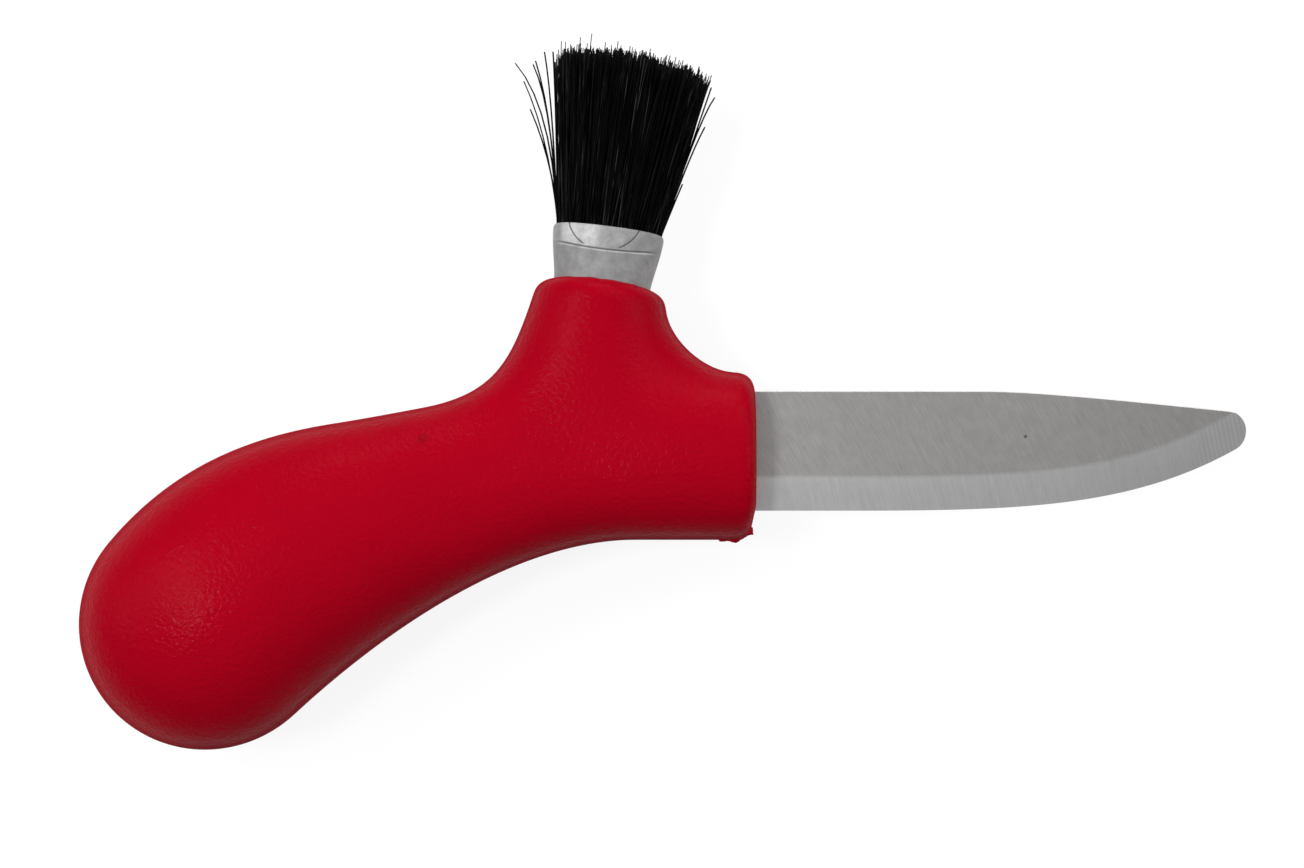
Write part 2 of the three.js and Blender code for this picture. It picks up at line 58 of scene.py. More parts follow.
# %% [markdown]
# ## Sizes and places
# A product drawing is dimensioned from a datum. Here the datum is where the handle's front face, the
# middle of the blade's height and the blade's middle plane meet, and all sizes below are in millimetres
# from it. The datum is read from the CAD nodes, so the fine meshes land on the solids.

# %% Datum and small helpers
MM = 0.001
blade_low, blade_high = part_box("blade")
DATUM = np.array(
    [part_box("handle")[1].x, (blade_low.y + blade_high.y) / 2, (blade_low.z + blade_high.z) / 2]
)
SEED = 7


def placed(points):
    """Points in millimetres from the datum, as metres in the frame."""
    return np.asarray(points, float) * MM + DATUM


def unit(vectors):
    return vectors / np.linalg.norm(vectors, axis=-1, keepdims=True)


def smooth(value, low, high):
    """0 below low, 1 above high, and an even S-curve between."""
    share = np.clip((value - low) / (high - low), 0, 1)
    return share * share * (3 - 2 * share)


print("datum, mm:", [round(1000 * value, 2) for value in DATUM])

# %% [markdown]
# ## Node and mesh helpers
# A material in Blender is a graph of nodes. One function adds a node, sets its options and feeds its
# sockets, and another turns the hex colours that designers use, which are sRGB, into the linear light
# that the renderer works in. Short ones for the nodes used most, such as a mix of two colours, a change
# of range, noise and bump, keep the graphs readable. The last ones make a mesh object, hide the CAD node
# that it stands for, and close a skin over rings of points.


# %% Helpers for nodes and pieces
def linear(hex_colour):
    """An sRGB hex colour as the linear colour that a socket takes."""
    shares = [int(hex_colour[i : i + 2], 16) / 255 for i in (1, 3, 5)]
    return [*(s / 12.92 if s <= 0.04045 else ((s + 0.055) / 1.055) ** 2.4 for s in shares), 1.0]


def add_node(tree, kind, inputs=None, **options):
    """Add a node: options are its settings, inputs its sockets, each given a value or a socket to link."""
    node = tree.nodes.new(kind)
    for name, value in options.items():
        setattr(node, name, value)
    for socket, value in (inputs or {}).items():
        if isinstance(value, bpy.types.NodeSocket):
            tree.links.new(value, node.inputs[socket])
        else:
            node.inputs[socket].default_value = value
    return node


def new_material(name):
    material = bpy.data.materials.new(name)
    material.use_nodes = True
    material.node_tree.nodes.clear()
    return material, material.node_tree


def point_value(tree, name):
    """The value that a mesh carries on its points under a name."""
    node = add_node(tree, "ShaderNodeAttribute", attribute_name=name, attribute_type="GEOMETRY")
    return node.outputs["Fac"]


def mix_colours(tree, share, first, second, blend="MIX"):
    """The first colour at a share of 0, the second at 1. They are the node's sockets 6 and 7."""
    sockets = {0: share, 6: first, 7: second}
    return add_node(tree, "ShaderNodeMix", sockets, data_type="RGBA", blend_type=blend).outputs[2]


def mix_values(tree, share, first, second):
    """The same for plain values, which are the node's sockets 2 and 3."""
    return add_node(tree, "ShaderNodeMix", {0: share, 2: first, 3: second}, data_type="FLOAT").outputs[0]


def calculate(tree, operation, first, second):
    return add_node(tree, "ShaderNodeMath", {0: first, 1: second}, operation=operation).outputs[0]


def map_range(tree, value, source=(0.0, 1.0), target=(0.0, 1.0), ease="LINEAR"):
    """Bring a value from a source range to a target range, and hold it at the ends."""
    limits = {"From Min": source[0], "From Max": source[1], "To Min": target[0], "To Max": target[1]}
    node = add_node(tree, "ShaderNodeMapRange", {"Value": value, **limits}, interpolation_type=ease)
    return node.outputs["Result"]


def noise(tree, place, size, detail, roughness=0.6):
    """Cloudy noise from 0 to 1, with grains of a size in the units of the place."""
    inputs = {"Vector": place, "Scale": 1 / size, "Detail": detail, "Roughness": roughness}
    return add_node(tree, "ShaderNodeTexNoise", inputs).outputs["Fac"]


def bump(tree, height, depth):
    """A normal tilted as if the surface rose and fell with a height from 0 to 1, by a depth in metres."""
    inputs = {"Height": height, "Distance": depth, "Strength": 1.0}
    return add_node(tree, "ShaderNodeBump", inputs).outputs["Normal"]


def surface(tree, inputs):
    """End a graph with one principled shader."""
    shader = add_node(tree, "ShaderNodeBsdfPrincipled", inputs)
    add_node(tree, "ShaderNodeOutputMaterial", {"Surface": shader.outputs["BSDF"]})


def grey_light(level):
    return (level, level, level, 1.0)


def new_mesh(name, vertices, faces, sharp_angle=None):
    """A smooth-shaded mesh object in the frame's metres, with edges steeper than an angle kept sharp."""
    mesh = bpy.data.meshes.new(name)
    mesh.from_pydata(np.asarray(vertices).tolist(), [], faces)
    mesh.validate()
    mesh.shade_smooth()
    if sharp_angle:
        mesh.set_sharp_from_angle(angle=math.radians(sharp_angle))
    piece = bpy.data.objects.new(name, mesh)
    bpy.context.scene.collection.objects.link(piece)
    return piece


def dress(piece, material, node=None):
    """Give a piece its finish, let it ride on the knife, and hide the CAD node that it stands for."""
    piece.data.materials.clear()
    piece.data.materials.append(material)
    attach(piece, "root")
    if node:
        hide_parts(node)
    print(piece.name, "has", len(piece.data.polygons), "faces")


def skin(rings, start, end):
    """Vertices and faces of a closed skin over rings of points, with a point that closes each end."""
    rings = np.asarray(rings)
    count = rings.shape[1]
    first, last = len(rings) * count, len(rings) * count + 1
    faces = []
    for i in range(count):
        j = (i + 1) % count
        for low in range(0, first - count, count):
            faces.append((low + i, low + j, low + count + j, low + count + i))
        faces.append((first, j, i))
        faces.append((last, first - count + i, first - count + j))
    return np.vstack([rings.reshape(-1, 3), [start, end]]), faces


# %% [markdown]
# ## Camera
# The photograph looks down at the knife's side from close by. The length taken for the knife, over its
# length in pixels, gives the width of the view, and the lens follows from that width and the distance, as
# on a real camera. Laid on its side, the knife most likely rests on its palm end and its boss, so the
# brush leans away from the camera by a few degrees. The model lies level, so the camera leans by that
# angle instead, which bows the near rims of the boss and the ferrule.

# %% Camera
IMAGE_WIDTH = 1304
MM_PER_PIXEL = 0.14653
CAMERA_DISTANCE = 330
CAMERA_LEAN = math.radians(4.4)
VIEW_CENTRE = (-14.95, 2.5)
SENSOR_WIDTH = 36

camera = bpy.data.objects.new("camera", bpy.data.cameras.new("camera"))
camera.data.sensor_fit = "HORIZONTAL"
camera.data.sensor_width = SENSOR_WIDTH
camera.data.lens = SENSOR_WIDTH * CAMERA_DISTANCE / (IMAGE_WIDTH * MM_PER_PIXEL)
camera.data.clip_start = 0.01
back = CAMERA_DISTANCE * math.sin(CAMERA_LEAN)
camera.location = placed([VIEW_CENTRE[0], VIEW_CENTRE[1] - back, CAMERA_DISTANCE * math.cos(CAMERA_LEAN)])
camera.rotation_euler = (CAMERA_LEAN, 0, 0)
bpy.context.scene.collection.objects.link(camera)
bpy.context.scene.camera = camera
bpy.context.scene.view_settings.view_transform = "Standard"
print("lens, mm:", round(camera.data.lens, 1))

# %% [markdown]
# ## Studio
# The knife is lit like a catalogue picture, by soft boxes in an arc: two high on the left, whose
# reflections are the spots on the palm end and the boss, one low on the left, one on the brush's side and
# two to the right. The near side of the knife gets no lamp, so the belly of the grip falls off to a deep
# red. The surround is dim, lighter overhead and lightest straight above, which is what the flat of the
# blade mirrors. Its zones are given by how steeply a ray points up, from 0 at the horizon to 1 straight
# above. The floor is white paper. It glows a little for the rays that show it, so it stays white behind
# the knife and still keeps the knife's shadow.


# %% Lights, surround and floor
LAMP_DISTANCE = 0.9
HORIZON_LIGHT = 0.06
OVERHEAD_LIGHT = 0.2
ZENITH_LIGHT = 0.34
OVERHEAD_ZONE = (0.05, 0.5)
ZENITH_ZONE = (0.82, 0.95)
FLOOR_GLOW = 0.88


def soft_box(name, direction, size, power):
    """An area lamp of a width and a height, in metres, that faces the middle of the view."""
    lamp = bpy.data.lights.new(name, "AREA")
    lamp.shape = "RECTANGLE"
    lamp.size, lamp.size_y = size
    lamp.energy = power
    holder = bpy.data.objects.new(name, lamp)
    towards = Vector(direction).normalized()
    holder.location = Vector(placed([*VIEW_CENTRE, 0])) + towards * LAMP_DISTANCE
    holder.rotation_euler = (-towards).to_track_quat("-Z", "Y").to_euler()
    bpy.context.scene.collection.objects.link(holder)


soft_box("left_soft_box", (-0.41, -0.04, 0.91), (0.16, 0.16), 2.35)
soft_box("upper_left_soft_box", (-0.58, 0.28, 0.765), (0.20, 0.20), 1.4)
soft_box("low_left_soft_box", (-0.85, 0.10, 0.50), (0.5, 0.5), 1.3)
soft_box("brush_side_soft_box", (0.0, 0.93, 0.37), (0.45, 0.45), 2.1)
soft_box("right_soft_box", (0.45, 0.60, 0.66), (0.5, 0.5), 1.7)
soft_box("low_right_soft_box", (0.90, 0.10, 0.42), (0.5, 0.5), 1.8)

surround = bpy.data.worlds.new("studio_surround")
surround.use_nodes = True
bpy.context.scene.world = surround
tree = surround.node_tree
tree.nodes.clear()
direction = add_node(tree, "ShaderNodeTexCoord")
parts = add_node(tree, "ShaderNodeSeparateXYZ", {"Vector": direction.outputs["Generated"]})
overhead = map_range(tree, parts.outputs["Z"], OVERHEAD_ZONE)
grey = mix_colours(tree, overhead, grey_light(HORIZON_LIGHT), grey_light(OVERHEAD_LIGHT))
zenith = map_range(tree, parts.outputs["Z"], ZENITH_ZONE, ease="SMOOTHSTEP")
dome = mix_colours(tree, zenith, grey, grey_light(ZENITH_LIGHT))
light = add_node(tree, "ShaderNodeBackground", {"Color": dome, "Strength": 1.0})
add_node(tree, "ShaderNodeOutputWorld", {"Surface": light.outputs["Background"]})

floor_paper, tree = new_material("white_paper")
path = add_node(tree, "ShaderNodeLightPath")
seen = calculate(tree, "MAXIMUM", path.outputs["Is Camera Ray"], path.outputs["Is Glossy Ray"])
shown = calculate(tree, "MAXIMUM", seen, path.outputs["Is Transmission Ray"])
paper = add_node(tree, "ShaderNodeBsdfDiffuse", {"Color": linear("#767676")})
glow = add_node(tree, "ShaderNodeEmission", {"Color": grey_light(1.0), "Strength": FLOOR_GLOW})
lit_paper = add_node(tree, "ShaderNodeAddShader", {0: paper.outputs[0], 1: glow.outputs[0]})
floor_look = add_node(
    tree, "ShaderNodeMixShader", {0: shown, 1: paper.outputs[0], 2: lit_paper.outputs[0]}
)
add_node(tree, "ShaderNodeOutputMaterial", {"Surface": floor_look.outputs[0]})

FLOOR_HALF = 8.0
FLOOR_GAP = 0.00005
corners = [(x * FLOOR_HALF, y * FLOOR_HALF, -FLOOR_GAP) for x, y in ((-1, -1), (1, -1), (1, 1), (-1, 1))]
floor = new_mesh("floor", corners, [(0, 1, 2, 3)])
floor.data.materials.append(floor_paper)
print("floor is", 2 * FLOOR_HALF, "m wide")

# %% [markdown]
# ## Grip
# The handle is one moulding. Seen from the side, its outline has two rails: the back, from the round palm
# end over a crest to the front face, and the belly, with the hollow for the fingers. Along the rails run
# sections that are ellipses at the palm end and fuller towards the front. A loft over two rails gives
# exactly that, with few numbers, where sculpting would have to be matched by eye.

# %% Rails of the grip
BLADE_HEIGHT = 17.5
FRONT_LIP_TOP = 2.7
FRONT_LIP_BOTTOM = 4.25
FRONT_ROUND = 2.5
LOWER_ROUND = 1.9
BULB_RADIUS = 18.4
BULB_CENTRE = np.array([-79.6, -25.0])
BULB_END = 213
BULB_TOP_LEAVE = 140
BULB_BOTTOM_LEAVE = 313
CREST = np.array([-61.4, 4.0])
CREST_SLOPE = 8.9
NECK_SLOPE = -5.3
FINGER_BACK = 17.4
BULB_TOP_EASE = 13.9
CREST_REAR_EASE = 13.0
CREST_FRONT_EASE = 18.1
NECK_EASE = 17.6
BULB_BOTTOM_EASE = 20.2
FINGER_EASE = 16.3


def arc(centre, radius, start, end, count=240):
    turns = np.radians(np.linspace(start, end, count))
    return np.asarray(centre) + radius * np.stack([np.cos(turns), np.sin(turns)], 1)


def bezier(points, shares):
    a, b, c, d = (np.asarray(point) for point in points)
    t = np.asarray(shares)[:, None] if np.ndim(shares) else shares
    return (1 - t) ** 3 * a + 3 * (1 - t) ** 2 * t * b + 3 * (1 - t) * t**2 * c + t**3 * d


def sweep(start, start_slope, start_ease, end, end_slope, end_ease, count=240):
    """A curve that leaves and reaches its ends at given slopes, in degrees, and holds each for a length."""
    lean = [
        np.array([math.cos(math.radians(s)), math.sin(math.radians(s))]) for s in (start_slope, end_slope)
    ]
    handles = (start, start + start_ease * lean[0], end - end_ease * lean[1], end)
    return bezier(handles, np.linspace(0, 1, count))


def by_length(points):
    """A sampler of a drawn line by share of its length, and the length."""
    steps = np.r_[0, np.cumsum(np.linalg.norm(np.diff(points, axis=0), axis=1))]
    share = steps / steps[-1]
    return lambda u: np.stack([np.interp(u, share, points[:, k]) for k in (0, 1)], -1), steps[-1]


front_top = np.array([-FRONT_ROUND, BLADE_HEIGHT / 2 + FRONT_LIP_TOP])
front_bottom = np.array([-FRONT_ROUND, -BLADE_HEIGHT / 2 - FRONT_LIP_BOTTOM])
finger_end = np.array([-FINGER_BACK, front_bottom[1]])
top_arc = arc(BULB_CENTRE, BULB_RADIUS, BULB_END, BULB_TOP_LEAVE)
bottom_arc = arc(BULB_CENTRE, BULB_RADIUS, BULB_END, BULB_BOTTOM_LEAVE)
back_rail, back_length = by_length(
    np.vstack(
        [
            top_arc,
            sweep(top_arc[-1], BULB_TOP_LEAVE - 90, BULB_TOP_EASE, CREST, CREST_SLOPE, CREST_REAR_EASE)[1:],
            sweep(CREST, CREST_SLOPE, CREST_FRONT_EASE, front_top, NECK_SLOPE, NECK_EASE)[1:],
        ]
    )
)
belly_rail, belly_length = by_length(
    np.vstack(
        [
            bottom_arc,
            sweep(bottom_arc[-1], BULB_BOTTOM_LEAVE - 270, BULB_BOTTOM_EASE, finger_end, 0, FINGER_EASE)[1:],
            front_bottom[None],
        ]
    )
)
print("rails, mm:", round(back_length, 1), round(belly_length, 1))

# %% [markdown]
# Each section stands between a point of the back and the point of the belly at the same share of their
# lengths. It is a superellipse, an ellipse whose power can be raised to square its shoulders, so one
# formula serves both ends. At the front the sections shrink through a quarter turn, which rounds the
# corner of the face, and below the blade the face slants back a little.

# %% Sections of the grip
BULB_ASPECT = 0.824
FRONT_ASPECT = 0.86
BULB_SQUARENESS = 2.0
FRONT_SQUARENESS = 2.4
FRONT_SLANT = 0.45
SLANT_START = -0.5
SLANT_FULL = 2.5
LOWER_SIDE = (0.3, 0.95)
SECTION_STEPS = 144
LENGTH_STEPS = 220
ROUND_STEPS = 10


def grip_point(u, angle, inset=0.0, forward=0.0):
    """A point of the grip: u runs from the palm end to the front, the angle goes round the section."""
    u, angle = np.broadcast_arrays(u, angle)
    top, bottom = back_rail(u), belly_rail(u)
    height = np.linalg.norm(top - bottom, axis=-1) / 2
    up = (top - bottom) / (2 * height[..., None])
    width = height * (BULB_ASPECT + (FRONT_ASPECT - BULB_ASPECT) * u) - inset
    power = 2 / (BULB_SQUARENESS + (FRONT_SQUARENESS - BULB_SQUARENESS) * u)
    rise = (height - inset) * np.sign(np.sin(angle)) * np.abs(np.sin(angle)) ** power
    across = width * np.sign(np.cos(angle)) * np.abs(np.cos(angle)) ** power
    flat = (top + bottom) / 2 + up * rise[..., None]
    return np.stack([flat[..., 0] + forward, flat[..., 1], across], -1)


section = -2 * np.pi * np.arange(SECTION_STEPS) / SECTION_STEPS
rings = [grip_point(u, section) for u in np.linspace(0, 1, LENGTH_STEPS + 1)[1:]]
rounding = FRONT_ROUND + (LOWER_ROUND - FRONT_ROUND) * smooth(-np.sin(section), *LOWER_SIDE)
for turn in np.linspace(0, np.pi / 2, ROUND_STEPS + 1)[1:]:
    forward = FRONT_ROUND - rounding * (1 - math.sin(turn))
    rings.append(grip_point(1.0, section, rounding * (1 - math.cos(turn)), forward))
rings = np.array(rings)
below_edge = smooth(-rings[..., 1] - BLADE_HEIGHT / 2, SLANT_START, SLANT_FULL)
near_front = smooth(rings[..., 0], -2 * FRONT_ROUND, 0)
rings[..., 0] -= FRONT_SLANT * below_edge * near_front
grip_mesh = skin(rings, [*back_rail(0.0), 0], [0, (front_top[1] + front_bottom[1]) / 2, 0])
print("grip:", len(grip_mesh[0]), "points")

# %% [markdown]
# ## Boss for the brush
# The brush stands in a collar that grows out of the grip without an edge. Each line down the collar is
# one Bezier curve: it leaves the rounded rim along the wall, and lands on the grip along the grip's own
# surface, so the two run together. Towards the blade the curve is open and towards the palm it is
# tighter, as in the real moulding.

# %% Boss
FERRULE_RADIUS = 7.05
RIM = np.array([-22.3, 24.56, 0.0])
BRUSH_TILT = math.radians(7.2)
BOSS_RADIUS = 9.84
BOSS_SHOULDER = 2.9
BOSS_FLARE = math.radians(10.8)
RIM_DIP = 0.28
BORE_GAP = 0.12
BORE_RADIUS = FERRULE_RADIUS + BORE_GAP
BORE_DEPTH = 4.0
SKIRT_FRONT = 0.7
SKIRT_MIDDLE = 22.1
SKIRT_REAR = 46.5
SKIRT_WRAP = 90
SKIRT_SINK = 0.15
SKIRT_REAR_TIGHTNESS = 0.46
SKIRT_FRONT_TIGHTNESS = 0.32
BOSS_TURNS = 200
SKIRT_STEPS = 60
NEARBY = 0.01

brush_across = np.array([math.cos(BRUSH_TILT), -math.sin(BRUSH_TILT), 0])
brush_along = np.array([math.sin(BRUSH_TILT), math.cos(BRUSH_TILT), 0])


def in_brush(across, along, deep):
    """Points in the brush's own frame, whose origin is the rim's centre and whose axis leans to the blade."""
    across, along, deep = np.broadcast_arrays(across, along, deep)
    local = np.stack([across, along, deep], -1).astype(float)
    return RIM + local @ np.array([brush_across, brush_along, [0, 0, 1]])


turns = -2 * np.pi * np.arange(BOSS_TURNS) / BOSS_TURNS
ahead, aside = np.cos(turns), np.sin(turns)
reach = np.where(ahead > 0, SKIRT_MIDDLE - SKIRT_FRONT, SKIRT_REAR - SKIRT_MIDDLE)
skirt_centre = grip_point(1 - SKIRT_MIDDLE / back_length, 0.0) * [1, 1, 0]


def on_grip(share):
    along = SKIRT_MIDDLE - share * reach * ahead
    return grip_point(1 - along / back_length, np.radians(90 - share * SKIRT_WRAP * aside))


def on_shoulder(turn):
    """The rounded rim: a turn of 0 is its widest ring, and it closes in as the turn grows."""
    radius = BOSS_RADIUS - BOSS_SHOULDER * (1 - np.cos(turn))
    dip = RIM_DIP * (ahead * np.sin(turn)) ** 2
    return in_brush(radius * ahead, BOSS_SHOULDER * (np.sin(turn) - 1) - dip, radius * aside)


foot = on_grip(1.0)
run_out = unit(on_grip(1 + NEARBY) - on_grip(1 - NEARBY))
wall_lean = BOSS_FLARE * np.abs(ahead)
rim_turn = math.acos(1 - (BOSS_RADIUS - BORE_RADIUS) / BOSS_SHOULDER)
shoulder = on_shoulder(wall_lean)
wall = unit(math.tan(BOSS_FLARE) * ahead[:, None] * brush_across - brush_along)
tightness = SKIRT_REAR_TIGHTNESS + (SKIRT_FRONT_TIGHTNESS - SKIRT_REAR_TIGHTNESS) * (1 + ahead) / 2
ease = (tightness * np.linalg.norm(foot - shoulder, axis=1))[:, None]
side = (foot, foot - run_out * ease, shoulder + wall * ease, shoulder)
rings = [bezier(side, share) for share in np.linspace(0, 1, SKIRT_STEPS + 1)]
rings[0] = foot + SKIRT_SINK * unit(skirt_centre - foot)
for share in np.linspace(0, 1, 2 * ROUND_STEPS + 1)[1:]:
    rings.append(on_shoulder(wall_lean + share * (rim_turn - wall_lean)))
rings.append(in_brush(BORE_RADIUS * ahead, -BORE_DEPTH, BORE_RADIUS * aside))
boss_mesh = skin(rings, skirt_centre, in_brush(0, -BORE_DEPTH, 0))
print("boss:", len(boss_mesh[0]), "points")

# %% [markdown]
# ## One moulding
# Grip and boss are two overlapping skins. A voxel remesh joins them into one even, closed surface, where
# a boolean would leave a seam of thin triangles that shows in the highlights. A few rounds of smoothing
# then take out the steps of the voxels.

# %% Join the handle
VOXEL = 0.4
SMOOTH_ROUNDS = 10
SMOOTH_SHARE = 0.5


def with_modifiers_applied(piece):
    graph = bpy.context.evaluated_depsgraph_get()
    old_mesh = piece.data
    piece.data = bpy.data.meshes.new_from_object(piece.evaluated_get(graph))
    piece.modifiers.clear()
    bpy.data.meshes.remove(old_mesh)


offset = len(grip_mesh[0])
boss_faces = [tuple(offset + i for i in face) for face in boss_mesh[1]]
handle = new_mesh(
    "handle_moulding", placed(np.vstack([grip_mesh[0], boss_mesh[0]])), grip_mesh[1] + boss_faces
)
remesh = handle.modifiers.new("join", "REMESH")
remesh.mode = "VOXEL"
remesh.voxel_size = VOXEL * MM
remesh.use_smooth_shade = True
relax = handle.modifiers.new("relax", "SMOOTH")
relax.factor = SMOOTH_SHARE
relax.iterations = SMOOTH_ROUNDS
with_modifiers_applied(handle)
handle.data.shade_smooth()
print("handle:", len(handle.data.vertices), "points")

# %% [markdown]
# ## Handle plastic
# The handle is injection-moulded polypropylene in a strong red. The mould was sparked, which leaves a
# fine pebbled grain about two thirds of a millimetre wide, so highlights are broad and break into points.
# Polypropylene has an IOR near 1.49. The grain is bump, because its pebbles are hardly wider than the
# faces of the mesh, and the colour drifts very slightly where the melt cooled faster. Seen at a grazing
# angle the pebbles hide each other, so the rims are duller than the top. The specular level is kept low
# too, because the white floor would whiten the rims.

# %% Moulded polypropylene
GRAIN = 0.65
GRAIN_DEPTH = 0.14
GLOSS = (0.12, 0.21)
DRIFT = 14.0
RIM_ROUGHNESS = 0.65
GRAZING = (0.5, 0.85)
PLASTIC_IOR = 1.49
PLASTIC_SPECULAR = 0.022
GATE_MARK = (-47.6, 1.1)
GATE_MARK_RADIUS = 1.0
GATE_MARK_SHARE = 0.55

polypropylene, tree = new_material("moulded_polypropylene")
place = add_node(tree, "ShaderNodeTexCoord").outputs["Object"]
drift = noise(tree, place, DRIFT * MM, detail=3.0)
colour = mix_colours(tree, drift, linear("#a6021a"), linear("#b2031e"))
flat_place = add_node(tree, "ShaderNodeVectorMath", {0: place, 1: (1.0, 1.0, 0.0)}, operation="MULTIPLY")
mark_place = placed([*GATE_MARK, 0])
from_mark = add_node(
    tree,
    "ShaderNodeVectorMath",
    {0: flat_place.outputs["Vector"], 1: (mark_place[0], mark_place[1], 0.0)},
    operation="DISTANCE",
)
mark_edge = (0.5 * GATE_MARK_RADIUS * MM, GATE_MARK_RADIUS * MM)
mark = map_range(tree, from_mark.outputs["Value"], mark_edge, (GATE_MARK_SHARE, 0.0), "SMOOTHSTEP")
marked = mix_colours(tree, mark, colour, linear("#8a0216"))
grain = noise(tree, place, GRAIN * MM, detail=2.0)
pebbles = bump(tree, grain, GRAIN_DEPTH * MM)
gloss = map_range(tree, grain, target=GLOSS)
turned = add_node(tree, "ShaderNodeLayerWeight", {"Blend": 0.5})
grazing = map_range(tree, turned.outputs["Facing"], GRAZING, ease="SMOOTHSTEP")
rim_gloss = mix_values(tree, grazing, gloss, RIM_ROUGHNESS)
surface(
    tree,
    {
        "Base Color": marked,
        "Roughness": rim_gloss,
        "IOR": PLASTIC_IOR,
        "Specular IOR Level": PLASTIC_SPECULAR,
        "Normal": pebbles,
    },
)
dress(handle, polypropylene, "handle")

# %% [markdown]
# ## Moulding flash
# Where the two halves of the mould met, a little plastic was squeezed out between them at the lower front
# corner. It is a thin ragged fin that stands in the middle plane. Its outline is drawn point by point,
# outside the handle where it shows and inside where it is hidden, and a stack of four such outlines gives
# it a thickness and eased edges.

# %% Flash at the lower front corner
FLASH_OUTLINE = [
    (-0.9, -10.8),
    (-1.5, -11.5),
    (-5.2, -12.2),
    (-5.35, -12.85),
    (-5.05, -13.26),
    (-3.74, -13.19),
    (-2.69, -13.48),
    (-1.75, -12.9),
    (-0.91, -12.38),
    (-0.15, -12.24),
    (-0.2, -11.2),
    (-0.9, -10.8),
]
FLASH_MIDDLE = np.array([-2.6, -12.0])
FLASH_THICKNESS = 0.9
FLASH_EASE = 0.12
FLASH_RAGGED = 0.03
FLASH_STEPS = 120

random = np.random.default_rng(SEED)
outline, flash_length = by_length(np.array(FLASH_OUTLINE))
ragged = outline(np.linspace(0, 1, FLASH_STEPS + 1)[:-1])
ragged = ragged + random.normal(0, FLASH_RAGGED, ragged.shape)
eased = ragged + FLASH_EASE * unit(FLASH_MIDDLE - ragged)
rings = []
for share, flat in ((-0.5, eased), (-0.25, ragged), (0.25, ragged), (0.5, eased)):
    rings.append(np.column_stack([flat, np.full(len(flat), share * FLASH_THICKNESS)]))
cap = FLASH_THICKNESS / 2
vertices, faces = skin(rings, [*FLASH_MIDDLE, -cap], [*FLASH_MIDDLE, cap])
flash = new_mesh("handle_flash", placed(vertices), faces)
dress(flash, polypropylene)
print("flash outline, mm:", round(flash_length, 1))

# %% [markdown]
# ## Blade
# The blade is a strip of stainless steel, 2 mm thick. Its sides are flat from the spine to a grind line,
# and from there a bevel runs down to the edge on both sides. The outline is straight lines, two curves
# and a round tip, and the solid is a stack of outlines at rising heights. The grind line is eased over a
# fraction of a millimetre, as a belt leaves it, and an attribute on the points says how much of the
# bevel's finish each one has. Round the tip the grind line runs straight on until just inside the
# outline, where the bevel runs out.

# %% Blade outline
BLADE_LENGTH = 72.0
BLADE_THICKNESS = 2.0
EDGE_THICKNESS = 0.25
BEVEL_WIDTH = 4.9
LEAST_BEVEL = 0.15
GRIND_INSIDE = 0.25
SPINE_STRAIGHT = 33.6
SPINE_FALL = 6
SPINE_EASE = (0.5, 0.2)
TIP_RADIUS = 3.0
TIP_RISE = 2.85
BELLY_START = 14.0
BELLY_RISE = 29
BELLY_EASE = (0.45, 0.32)
BLADE_SUNK = 3.0
CURVE_STEPS = 60

half_height = BLADE_HEIGHT / 2
tip_centre = np.array([BLADE_LENGTH - TIP_RADIUS, TIP_RISE])
tip = arc(tip_centre, TIP_RADIUS, BELLY_RISE - 90, 90 - SPINE_FALL, CURVE_STEPS)
belly_start = np.array([BELLY_START, -half_height])
belly_reach = tip_centre[0] - BELLY_START
belly_eases = [share * belly_reach for share in BELLY_EASE]
belly = sweep(belly_start, 0, belly_eases[0], tip[0], BELLY_RISE, belly_eases[1], 2 * CURVE_STEPS)
spine_start = np.array([SPINE_STRAIGHT, half_height])
spine_reach = tip_centre[0] - SPINE_STRAIGHT
spine_eases = [share * spine_reach for share in SPINE_EASE]
spine = sweep(tip[-1], 180 - SPINE_FALL, spine_eases[0], spine_start, 180, spine_eases[1], CURVE_STEPS)
straight = np.linspace([-BLADE_SUNK, -half_height], belly_start, CURVE_STEPS)
heel_top = np.linspace(spine_start, [-BLADE_SUNK, half_height], CURVE_STEPS)

edge = np.vstack([straight, belly[1:], tip[1:]])
ground = len(straight) + len(belly) - 1
along = unit(np.gradient(edge, axis=0))
grind = edge + BEVEL_WIDTH * np.stack([-along[:, 1], along[:, 0]], 1)
outward = np.array([along[ground - 1, 1], -along[ground - 1, 0]])
bevel_reach = (edge - grind[ground - 1]) @ outward
bevel_end = ground + np.argmax(bevel_reach[ground:] < LEAST_BEVEL)
back = np.vstack([edge[bevel_end:], spine[1:], heel_top[1:]])
edge, grind, bevel_reach = edge[:bevel_end], grind[:bevel_end], bevel_reach[:bevel_end]
onward = along[ground - 1]
from_centre = grind[ground - 1] - tip_centre
midway = from_centre @ onward
room = (TIP_RADIUS - GRIND_INSIDE) ** 2 - from_centre @ from_centre
line_end = np.sqrt(midway**2 + room) - midway
run_on = np.linspace(0, line_end, bevel_end - ground + 1)[1:]
grind[ground:] = grind[ground - 1] + np.outer(run_on, onward)
print("edge points:", len(edge), "back points:", len(back))

# %% [markdown]
# The stack has five rings on each side. Each layer says how far its ring lies from the edge towards the
# grind line, how far it has fallen from the flat, how much the spine's corner is taken in, how high the
# spine stands, and the share of the bevel's finish.

# %% Blade mesh
SPINE_ROUND = 0.14
GRIND_EASE = 0.07
SHARP_EDGE = 20

